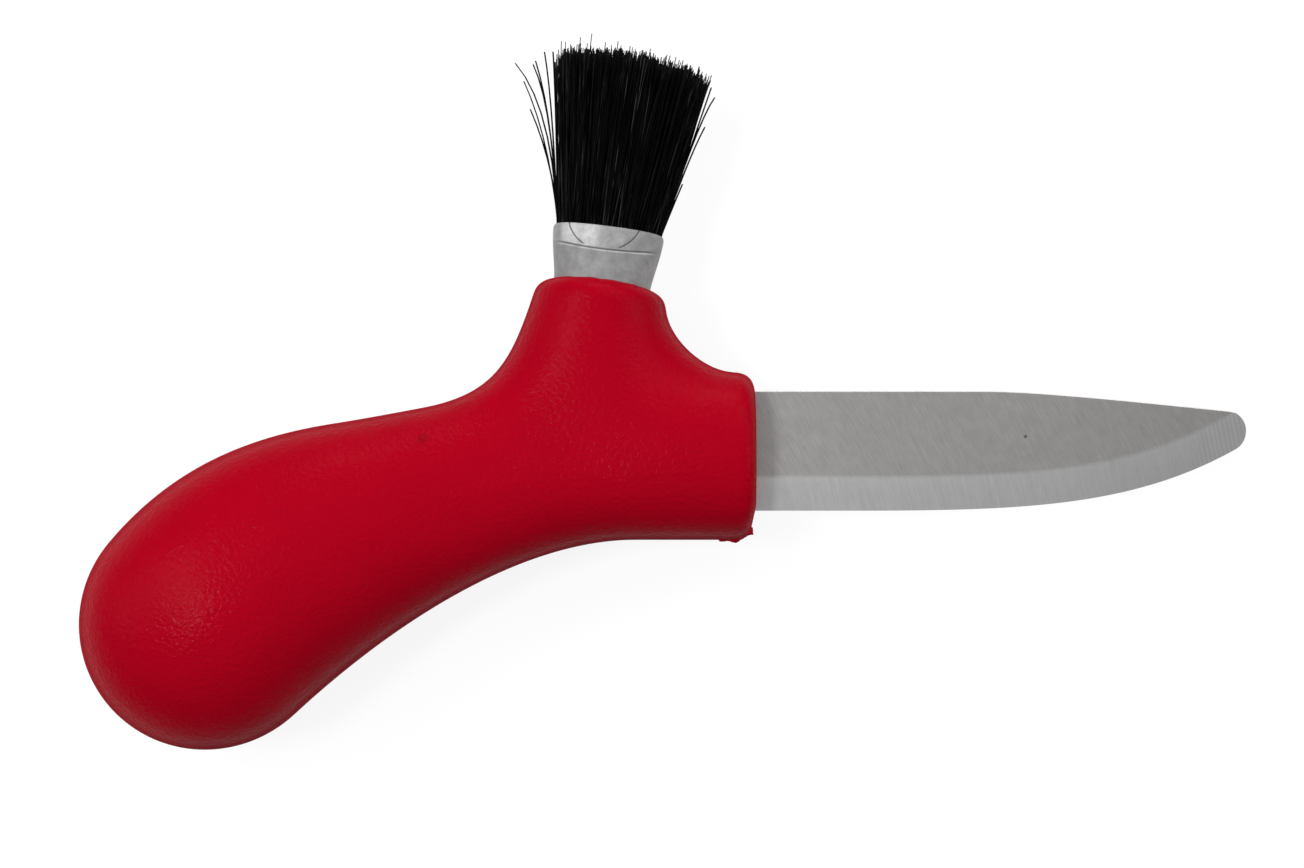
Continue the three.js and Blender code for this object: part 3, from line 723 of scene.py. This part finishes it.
half = BLADE_THICKNESS / 2
fall = np.full(len(edge), half - EDGE_THICKNESS / 2)
fall[ground:] *= np.clip(bevel_reach[ground:] / BEVEL_WIDTH, 0, 1)
inward = unit(np.gradient(back, axis=0))
inward = np.stack([-inward[:, 1], inward[:, 0]], 1)
layers = [
    (1 + GRIND_EASE, 0.0, SPINE_ROUND, half, 0.0),
    (1.0, 0.25 * GRIND_EASE, 0.3 * SPINE_ROUND, half - 0.3 * SPINE_ROUND, 0.5),
    (1 - GRIND_EASE, GRIND_EASE, 0.0, half - SPINE_ROUND, 1.0),
    (0.5, 0.5, 0.0, 0.5 * half, 1.0),
    (0.0, 1.0, 0.0, EDGE_THICKNESS / 2, 1.0),
]
rings, bevel_share = [], []
for side in (1, -1):
    for share, fallen, inset, back_z, finish in layers[::side]:
        cut = np.column_stack([edge + share * (grind - edge), side * (half - fallen * fall)])
        rim = np.column_stack([back + inset * inward, np.full(len(back), side * back_z)])
        rings.append(np.vstack([cut, rim]))
        bevel_share.append(np.r_[np.full(len(edge), finish), np.zeros(len(back))])
rings = np.array(rings)[::-1]
count = rings.shape[1]
faces = []
for low in range(0, (len(rings) - 1) * count, count):
    for i in range(count):
        j = (i + 1) % count
        faces.append((low + i, low + j, low + count + j, low + count + i))
faces.append(tuple(reversed(range(count))))
faces.append(tuple(range((len(rings) - 1) * count, len(rings) * count)))
blade = new_mesh("blade_strip", placed(rings.reshape(-1, 3)), faces, sharp_angle=SHARP_EDGE)
finish = blade.data.attributes.new("bevel", "FLOAT", "POINT")
finish.data.foreach_set("value", np.concatenate(bevel_share[::-1]))
print("blade:", len(blade.data.vertices), "points")

# %% [markdown]
# ## Blade steel
# Cold-rolled stainless steel keeps a dull grey skin on the flats, with slanting marks from a polishing
# belt, and the bevel is freshly ground, with marks that stand nearly upright. The bevel is also tinted
# lighter, partly for its fresh grind and partly as painted reflection. Marks are noise stretched along
# their direction: a few millimetres long and a tenth of a millimetre wide, drawn a little wider so that
# they show.

# %% Marks of the belt
FLAT_MARK = (3.0, 0.15)
BEVEL_MARK = (7.0, 0.22)
FLAT_LEAN = math.radians(-62)
BEVEL_LEAN = math.radians(-76)
CLOUD = 1.6
MARK_DEPTH = 20

steel, tree = new_material("ground_stainless_steel")
place = add_node(tree, "ShaderNodeTexCoord").outputs["Object"]
bevel = point_value(tree, "bevel")
marks = []
for (length, width), lean in ((FLAT_MARK, FLAT_LEAN), (BEVEL_MARK, BEVEL_LEAN)):
    along = add_node(
        tree,
        "ShaderNodeMapping",
        {"Vector": place, "Rotation": (0.0, 0.0, lean), "Scale": (length * MM, width * MM, MARK_DEPTH * MM)},
        vector_type="TEXTURE",
    )
    marks.append(noise(tree, along.outputs["Vector"], 1.0, detail=4.0, roughness=0.65))
streak = mix_values(tree, bevel, marks[0], marks[1])
cloud = noise(tree, place, CLOUD * MM, detail=4.0)
print("belt marks, mm:", FLAT_MARK, BEVEL_MARK)

# %% [markdown]
# Near the tip the belt chattered and left even ribs on the bevel, two thirds of a millimetre apart.
# Against the handle the steel is a little darker, in blotches, and there are a few pits. All of these are
# masks: a share from 0 to 1 that says where a mark is. The wave texture runs through 20 radians a unit, so
# one wave a unit is a scale of a full turn over 20.

# %% Ribs, stains and pits
RIB_PITCH = 0.66
RIB_LEAN = math.radians(13)
RIBS_FROM = 63.0
RIBS_FULL = 66.0
RIB_SHARE = 0.3
RIB_WANDER = 0.6
ONE_WAVE = 2 * math.pi / 20
DARK_BLOT_REACH = 4.5
DARK_BLOT_SIZE = 1.3
DARK_BLOT_SHARE = 0.05
BLOT_RANGE = (0.42, 0.62)
PITS = [(1.5, -6.7), (4.7, -7.9), (39.6, 2.05)]
PIT_RADIUS = 0.2
PIT_EDGE = (0.4, 1.6)
PIT_SHADE = 1.6

blade_parts = add_node(tree, "ShaderNodeSeparateXYZ", {"Vector": place})
x_place = blade_parts.outputs["X"]
turned = add_node(
    tree,
    "ShaderNodeMapping",
    {"Vector": place, "Rotation": (0.0, 0.0, RIB_LEAN), "Scale": [RIB_PITCH * MM] * 3},
    vector_type="TEXTURE",
)
ribs = add_node(
    tree,
    "ShaderNodeTexWave",
    {"Vector": turned.outputs["Vector"], "Scale": ONE_WAVE, "Distortion": RIB_WANDER},
)
rib_range = (DATUM[0] + RIBS_FROM * MM, DATUM[0] + RIBS_FULL * MM)
rib_zone = map_range(tree, x_place, rib_range, (0.0, RIB_SHARE))
on_bevel = calculate(tree, "MULTIPLY", rib_zone, bevel)
ribbed = mix_values(tree, on_bevel, streak, ribs.outputs["Fac"])
dark_blot_range = (DATUM[0], DATUM[0] + DARK_BLOT_REACH * MM)
# The steel is a little darker, in blotches, close against the handle.
near_handle = map_range(tree, x_place, dark_blot_range, (DARK_BLOT_SHARE, 0.0), "SMOOTHSTEP")
blots = noise(tree, place, DARK_BLOT_SIZE * MM, detail=3.0)
blot = map_range(tree, blots, BLOT_RANGE)
dark_marks = calculate(tree, "MULTIPLY", near_handle, blot)
pit_range = [share * PIT_RADIUS * MM for share in PIT_EDGE]
for pit in PITS:
    distance = add_node(
        tree,
        "ShaderNodeVectorMath",
        {0: place, 1: tuple(placed([*pit, BLADE_THICKNESS / 2]))},
        operation="DISTANCE",
    )
    hole = map_range(tree, distance.outputs["Value"], pit_range, (PIT_SHADE, 0.0))
    dark_marks = calculate(tree, "MAXIMUM", dark_marks, hole)
print("pits:", len(PITS))

# %% [markdown]
# The colour of a metal is the tint of its reflection. The flats stay darker than the bevel, whose lighter
# tint is partly its fresh grind and partly painted reflection. Both vary with the marks, and both darken
# slowly towards the tip as painted shade.

# %% Ground stainless steel
TIP_SHADE_FROM = 44.0
TIP_SHADE = 0.9
CLOUD_SHARE = 0.3
GROOVE_DEPTH = 0.006
BELT_CONTRAST = (0.33, 0.67)
SATIN = (0.26, 0.37)

tone = mix_values(tree, CLOUD_SHARE, ribbed, cloud)
contrast = map_range(tree, tone, BELT_CONTRAST)
flat_tone = mix_colours(tree, contrast, linear("#c0bebc"), linear("#d7d5d4"))
# The bevel's lighter tint is partly its fresh grind and partly painted reflection.
bevel_tone = mix_colours(tree, contrast, linear("#eeeeee"), linear("#fdfdfd"))
two_tone = mix_colours(tree, bevel, flat_tone, bevel_tone)
# Painted shade: the steel darkens slowly towards the tip.
tip_shade_range = (DATUM[0] + TIP_SHADE_FROM * MM, DATUM[0] + BLADE_LENGTH * MM)
tip_shading = map_range(tree, x_place, tip_shade_range, (1.0, TIP_SHADE))
tip_shaded = mix_colours(tree, 1.0, two_tone, tip_shading, "MULTIPLY")
steel_colour = mix_colours(tree, dark_marks, tip_shaded, linear("#84827f"))
grooves = bump(tree, ribbed, GROOVE_DEPTH * MM)
satin = map_range(tree, ribbed, target=SATIN)
surface(
    tree,
    {
        "Base Color": steel_colour,
        "Metallic": 1.0,
        "Roughness": satin,
        "Normal": grooves,
    },
)
dress(blade, steel, "blade")

# %% [markdown]
# ## Ferrule
# A disc of aluminium is drawn into a cup, the bristles are set in it, and a press then flattens the mouth
# to an oval. The press leaves a band under the mouth with a smiling lower edge and a round fold on the
# face. All of it is a height added to one lofted cup, so folds and edges are real relief and catch the
# light as the metal does. Over the relief, painted shade darkens the crease line and the fold, and a
# painted highlight lightens the side of the band towards the palm and the lip below the crease.

# %% Ferrule
FERRULE_WALL = 0.4
FERRULE_SHOWN = 7.87
PRESS_DEPTH = 1.5
MOUTH_SPREAD = 1.15
MOUTH_PRESS = 1.1
MOUTH_SQUARENESS = 0.35
CRIMP_BAND = 2.6
CRIMP_STEP = 0.3
CRIMP_SMILE = 0.97
FOLD_CENTRE = (-0.6, 9.7)
FOLD_RADIUS = 5.5
FERRULE_TURNS = 480
STEP_EASE = 0.12
LINE_OFFSET, LINE_WIDTH, LINE_DEPTH = 0.08, 0.10, 0.12
LIP_OFFSET, LIP_WIDTH, LIP_RISE = 0.22, 0.13, 0.08
FOLD_WIDTH, FOLD_DEPTH = 0.08, 0.07
FOLD_GAP = (0.42, 0.55)
FACE_TURN = (0.35, 0.7)
# Painted highlight on one side of the band and on the lip, and painted shade along the crease line and the
# fold.
HIGHLIGHT_WIDE, HIGHLIGHT_WIDE_EDGE = 0.15, (-6.5, -2.5)
HIGHLIGHT_SPOT, HIGHLIGHT_SPOT_INNER, HIGHLIGHT_SPOT_OUTER = 0.4, (0.5, 1.9), (-7.2, -6.2)
HIGHLIGHT_EASE = 0.3
LINE_SHADE = 0.6
LIP_HIGHLIGHT = 0.5
LIP = 0.6
LIP_STEPS = 12
FERRULE_FOOT = -3.5
RELIEF_FROM = -0.4
RELIEF_STEPS = 110
INNER_HEIGHTS = (6.0, 5.4, 4.8, 4.2, 3.0)
CUP_FLOOR = -3.0

turns = -2 * np.pi * np.arange(FERRULE_TURNS) / FERRULE_TURNS


def ferrule_ring(height, inset=0.0, relief=True):
    """One ring of the cup at a height over the boss's rim, with the marks of the press as relief and as
    painted shade and highlight.
    """
    pressed = smooth(height, -PRESS_DEPTH, FERRULE_SHOWN)
    wide = FERRULE_RADIUS + MOUTH_SPREAD * pressed
    thick = FERRULE_RADIUS - MOUTH_PRESS * pressed
    power = 2 / (2 + MOUTH_SQUARENESS * pressed)
    round_x = np.sign(np.cos(turns)) * np.abs(np.cos(turns)) ** power
    round_z = np.sign(np.sin(turns)) * np.abs(np.sin(turns)) ** power
    x = wide * round_x
    facing = np.sin(turns) ** 2
    face = smooth(np.abs(np.sin(turns)), *FACE_TURN)
    crease = FERRULE_SHOWN - CRIMP_BAND - CRIMP_SMILE * facing
    sink = CRIMP_STEP * facing * smooth(height - crease, -STEP_EASE, STEP_EASE)
    line = face * np.exp(-(((height - crease - LINE_OFFSET) / LINE_WIDTH) ** 2))
    lip = face * np.exp(-(((height - crease + LIP_OFFSET) / LIP_WIDTH) ** 2))
    from_fold = np.hypot(x - FOLD_CENTRE[0], height - FOLD_CENTRE[1]) - FOLD_RADIUS
    fold_turn = np.abs(np.arctan2(x - FOLD_CENTRE[0], FOLD_CENTRE[1] - height))
    fold = smooth(fold_turn, *FOLD_GAP) * (height > crease) * np.exp(-((from_fold / FOLD_WIDTH) ** 2))
    glint_spot = smooth(-x, *HIGHLIGHT_SPOT_INNER) * smooth(x, *HIGHLIGHT_SPOT_OUTER)
    painted_glint = HIGHLIGHT_WIDE * smooth(-x, *HIGHLIGHT_WIDE_EDGE) + HIGHLIGHT_SPOT * glint_spot
    band_highlight = painted_glint * smooth(height, crease, crease + HIGHLIGHT_EASE)
    marks = np.zeros((len(x), 2))
    if relief:
        sink = sink + LINE_DEPTH * line - LIP_RISE * lip + FOLD_DEPTH * fold
        # The marks are painted shade along the crease line and the fold, and painted highlight on the band
        # and the lip.
        marks = np.stack([np.clip(LINE_SHADE * line + fold, 0, 1), band_highlight + LIP_HIGHLIGHT * lip], 1)
    deep = (thick - inset - sink) * round_z
    return in_brush((wide - inset) * round_x, height, deep), marks


heights = [(FERRULE_FOOT, 0.0, True), (-1.0, 0.0, True)]
heights += [(height, 0.0, True) for height in np.linspace(RELIEF_FROM, FERRULE_SHOWN - LIP, RELIEF_STEPS)]
for turn in np.linspace(0, np.pi, LIP_STEPS + 1)[1:-1]:
    rolled = FERRULE_WALL / 2 * (1 - math.cos(turn))
    heights.append((FERRULE_SHOWN - LIP + LIP * math.sin(turn), rolled, True))
for height in (FERRULE_SHOWN - LIP, *INNER_HEIGHTS, CUP_FLOOR):
    heights.append((height, FERRULE_WALL, False))
made = [ferrule_ring(*settings) for settings in heights]
vertices, faces = skin([ring for ring, _ in made], in_brush(0, FERRULE_FOOT, 0), in_brush(0, CUP_FLOOR, 0))
ferrule = new_mesh("ferrule_cup", placed(vertices), faces)
marks = np.vstack([marks for _, marks in made] + [np.zeros((2, 2))])
# The first values are painted shade along the crease and the fold, the second painted highlight.
for column, name in enumerate(("crease", "painted_highlight")):
    layer = ferrule.data.attributes.new(name, "FLOAT", "POINT")
    layer.data.foreach_set("value", marks[:, column].copy())
print("ferrule:", len(vertices), "points")

# %% [markdown]
# ## Aluminium
# Drawn aluminium left raw is a soft, cloudy grey: handling and oxide dull it in patches of a millimetre
# or two. A painted highlight lightens one side of the band and the lip of the crease, in patches, and
# painted shade darkens the crease line and the fold. Metals keep the default IOR, and the tint is their
# colour.

# %% Drawn aluminium
PATCH = 1.6
DRAW_MARK = (0.12, 3.0)
SCUFF_DEPTH = 0.015
DRAW_SHARE = 0.3
CLOUDY = (0.3, 0.7)
HIGHLIGHT_PATCHES_LEAST = 0.45
ALUMINIUM_ROUGHNESS = (0.82, 0.62)

aluminium, tree = new_material("drawn_aluminium")
place = add_node(tree, "ShaderNodeTexCoord").outputs["Object"]
patches = noise(tree, place, PATCH * MM, detail=5.0, roughness=0.65)
draw_scale = (DRAW_MARK[0] * MM, DRAW_MARK[1] * MM, DRAW_MARK[0] * MM)
drawn = add_node(
    tree,
    "ShaderNodeMapping",
    {"Vector": place, "Rotation": (0.0, 0.0, -BRUSH_TILT), "Scale": draw_scale},
    vector_type="TEXTURE",
)
lines = noise(tree, drawn.outputs["Vector"], 1.0, detail=3.0)
dull = mix_values(tree, DRAW_SHARE, patches, lines)
cloudy = map_range(tree, dull, CLOUDY)
grey = mix_colours(tree, cloudy, linear("#949494"), linear("#aeaeae"))
# Painted shade darkens the crease and the fold, and a painted highlight lightens the band and the lip.
crease = point_value(tree, "crease")
painted_highlight = point_value(tree, "painted_highlight")
highlight_patches = map_range(tree, cloudy, target=(HIGHLIGHT_PATCHES_LEAST, 1.0))
patchy_highlight = calculate(tree, "MULTIPLY", painted_highlight, highlight_patches)
highlighted = mix_colours(tree, patchy_highlight, grey, linear("#ffffff"))
highlighted_and_shaded = mix_colours(tree, crease, highlighted, linear("#3a3a3a"))
rough = map_range(tree, patches, target=ALUMINIUM_ROUGHNESS)
scuffs = bump(tree, dull, SCUFF_DEPTH * MM)
surface(
    tree,
    {
        "Base Color": highlighted_and_shaded,
        "Metallic": 1.0,
        "Roughness": rough,
        "Normal": scuffs,
    },
)
dress(ferrule, aluminium, "ferrule")

# %% [markdown]
# ## Bristles
# The brush is a thick tuft of stiff black hair. It leaves the mouth of the ferrule packed tight and fans
# out towards the tips, which were trimmed but have sprung to uneven lengths. A few hairs at the sides
# stray. A particle system would make hair too, but plain meshes export as they are: each hair is a thin
# three-sided rod along a curve whose tip is spread from its place at the mouth.

# %% Seats and tips of the hairs
HAIR_COUNT = 3200
HAIR_LENGTH = 25.2
HAIR_UNEVEN = 0.5
HAIR_WANDER = 0.48
HAIR_BOW = 0.45
LOOSE_SHARE = 0.05
LOOSE_WANDER = 1.1
MOUTH_HALF_WIDE = 7.6
MOUTH_HALF_THICK = 4.9
FAN_WIDE = 1.47
FAN_THICK = 1.55
FAN_SHIFT = 0.5
TRIM_FROM = 1.0
TRIM_FALL = 0.1
SPRUNG_SHARE = 0.018
SPRUNG_LENGTH = (0.8, 2.2)

random = np.random.default_rng(SEED)
turn = random.uniform(0, 2 * np.pi, HAIR_COUNT)
out = np.sqrt(random.uniform(0, 1, HAIR_COUNT))
seat = np.stack([MOUTH_HALF_WIDE * out * np.cos(turn), MOUTH_HALF_THICK * out * np.sin(turn)], 1)
loose = random.random((HAIR_COUNT, 1)) < LOOSE_SHARE
wander = random.normal(0, 1, (HAIR_COUNT, 2)) * np.where(loose, LOOSE_WANDER, HAIR_WANDER)
tip = seat * [FAN_WIDE, FAN_THICK] + [FAN_SHIFT, 0] + wander
trimmed = HAIR_LENGTH - TRIM_FALL * np.maximum(tip[:, 0] - TRIM_FROM, 0)
length = trimmed + random.normal(0, HAIR_UNEVEN, HAIR_COUNT)
sprung = random.random(HAIR_COUNT) < SPRUNG_SHARE
length += sprung * random.uniform(*SPRUNG_LENGTH, HAIR_COUNT)
roots = np.column_stack([seat[:, 0], np.full(HAIR_COUNT, FERRULE_SHOWN), seat[:, 1]])
tips = np.column_stack([tip[:, 0], FERRULE_SHOWN + length, tip[:, 1]])
knees = (roots + tips) / 2
knees[:, [0, 2]] += random.normal(0, HAIR_BOW, (HAIR_COUNT, 2))
print("hairs:", HAIR_COUNT, "shortest and longest, mm:", length.min().round(1), length.max().round(1))

# %% [markdown]
# Some hairs on the outside have sprung away from the tuft. Each is drawn by where it starts to leave the
# tuft and where it ends, across and up from the rim, and its root is the nearest seat on that side of the
# mouth.

# %% Stray hairs
STRAYS = [
    ((-10.6, 25.1), (-16.9, 30.7)),
    ((-10.7, 20.9), (-15.6, 28.9)),
    ((-10.6, 25.1), (-14.3, 31.0)),
    ((-10.4, 23.7), (-13.9, 31.2)),
    ((-9.4, 16.9), (-14.1, 24.9)),
    ((-10.6, 25.7), (-12.7, 32.6)),
    ((-10.4, 26.7), (-11.8, 33.8)),
    ((11.0, 26.2), (13.0, 30.0)),
    ((11.0, 25.2), (12.3, 31.6)),
    ((10.4, 20.3), (12.1, 24.4)),
    ((9.4, 14.6), (9.9, 16.3)),
]
STRAY_DEPTH = 2.0
STRAY_BOLDNESS = 1.8
STRAY_LIFT = 0.3
STRAY_SPREAD = 1.5

strays = np.array(STRAYS) + [0, STRAY_LIFT]
across = np.sign(strays[:, 0, 0]) * MOUTH_HALF_WIDE
depth = random.uniform(-STRAY_DEPTH, STRAY_DEPTH, len(strays))
roots = np.vstack([roots, np.column_stack([across, np.full(len(strays), FERRULE_SHOWN), depth / 2])])
knees = np.vstack([knees, np.column_stack([strays[:, 0], depth])])
tips = np.vstack([tips, np.column_stack([strays[:, 1], STRAY_SPREAD * depth])])
print("stray hairs:", len(strays))

# %% [markdown]
# Every hair bends from its root towards a knee and on to its tip, and its foot is sunk a few millimetres
# into the ferrule, where the hairs are packed closer. A ring of three points follows the curve and thins
# slightly towards the tip. All hairs go into one mesh, so the brush stays one piece, and each carries a
# random number that gives it its own streaks and picks the hairs with painted sheen.

# %% Hair mesh
HAIR_RADIUS = 0.09
HAIR_TIP = 0.88
HAIR_STEPS = 8
HAIR_SUNK = 5.0
HAIR_PACKED = 0.86

up = np.linspace(0, 1, HAIR_STEPS)[:, None, None]
path = (1 - up) ** 2 * roots + 2 * up * (1 - up) * knees + up**2 * tips
sunk = roots * [HAIR_PACKED, 1, HAIR_PACKED] - [0, HAIR_SUNK, 0]
path = np.concatenate([sunk[None], path])
path = in_brush(path[..., 0], path[..., 1], path[..., 2]).transpose(1, 0, 2)
radius = HAIR_RADIUS * np.r_[1, np.linspace(1, HAIR_TIP, HAIR_STEPS)]
bold = np.r_[np.ones(HAIR_COUNT), np.full(len(strays), STRAY_BOLDNESS)]
spin = random.uniform(0, 2 * np.pi, len(path))
corner = spin[:, None] + 2 * np.pi * np.arange(3) / 3
ring = np.cos(corner)[..., None] * brush_across + np.sin(corner)[..., None] * np.array([0, 0, 1])
points = path[:, :, None, :] + (bold[:, None] * radius)[:, :, None, None] * ring[:, None, :, :]
rows = HAIR_STEPS + 1
faces = []
for hair in range(len(path)):
    start = hair * rows * 3
    for low in range(start, start + (rows - 1) * 3, 3):
        for i in range(3):
            j = (i + 1) % 3
            faces.append((low + i, low + 3 + i, low + 3 + j, low + j))
    end = start + (rows - 1) * 3
    faces.append((end, end + 2, end + 1))
    faces.append((start, start + 1, start + 2))
bristles = new_mesh("bristles", placed(points.reshape(-1, 3)), faces)
# A random number for each hair; the highest ones get the painted sheen, and the strays get none.
streak_draw = np.r_[random.random(HAIR_COUNT), np.zeros(len(strays))]
shade = bristles.data.attributes.new("shade", "FLOAT", "POINT")
shade.data.foreach_set("value", np.repeat(streak_draw, rows * 3))
print("bristles:", len(faces), "faces")

# %% [markdown]
# ## Hair
# Stiff natural bristle dyed black is a dull keratin fibre: nearly black, with a narrow sheen along each
# hair. About three hairs in ten carry a painted sheen: a grey tint along parts of their length, which
# draws fine grey lines down the tuft. The IOR of keratin is 1.55.

# %% Dyed bristle
FIBRE_STREAK = 5.0
PALE_FROM = 0.7
HAIRS_APART = 200.0
SHEEN_LENGTHS = (0.44, 0.6)
HAIR_GLOSS = (0.42, 0.6)
KERATIN_IOR = 1.55
HAIR_SPECULAR = 0.05

hair, tree = new_material("dyed_hog_bristle")
place = add_node(tree, "ShaderNodeTexCoord").outputs["Object"]
shade = point_value(tree, "shade")
own = calculate(tree, "MULTIPLY", shade, HAIRS_APART)
fibre = add_node(
    tree,
    "ShaderNodeTexNoise",
    {"Vector": place, "W": own, "Scale": 1 / (FIBRE_STREAK * MM), "Detail": 2.0, "Roughness": 0.6},
    noise_dimensions="4D",
).outputs["Fac"]
black = mix_colours(tree, fibre, linear("#000000"), linear("#080707"))
# Painted sheen: hairs with a high number turn grey along parts of their length.
pale = map_range(tree, shade, (PALE_FROM, 1.0))
lengths = map_range(tree, fibre, SHEEN_LENGTHS)
painted_sheen = calculate(tree, "MULTIPLY", pale, lengths)
black_and_sheen = mix_colours(tree, painted_sheen, black, linear("#423e3f"))
sheen = map_range(tree, fibre, target=HAIR_GLOSS)
surface(
    tree,
    {
        "Base Color": black_and_sheen,
        "Roughness": sheen,
        "IOR": KERATIN_IOR,
        "Specular IOR Level": HAIR_SPECULAR,
    },
)
dress(bristles, hair, "bristle_tuft")
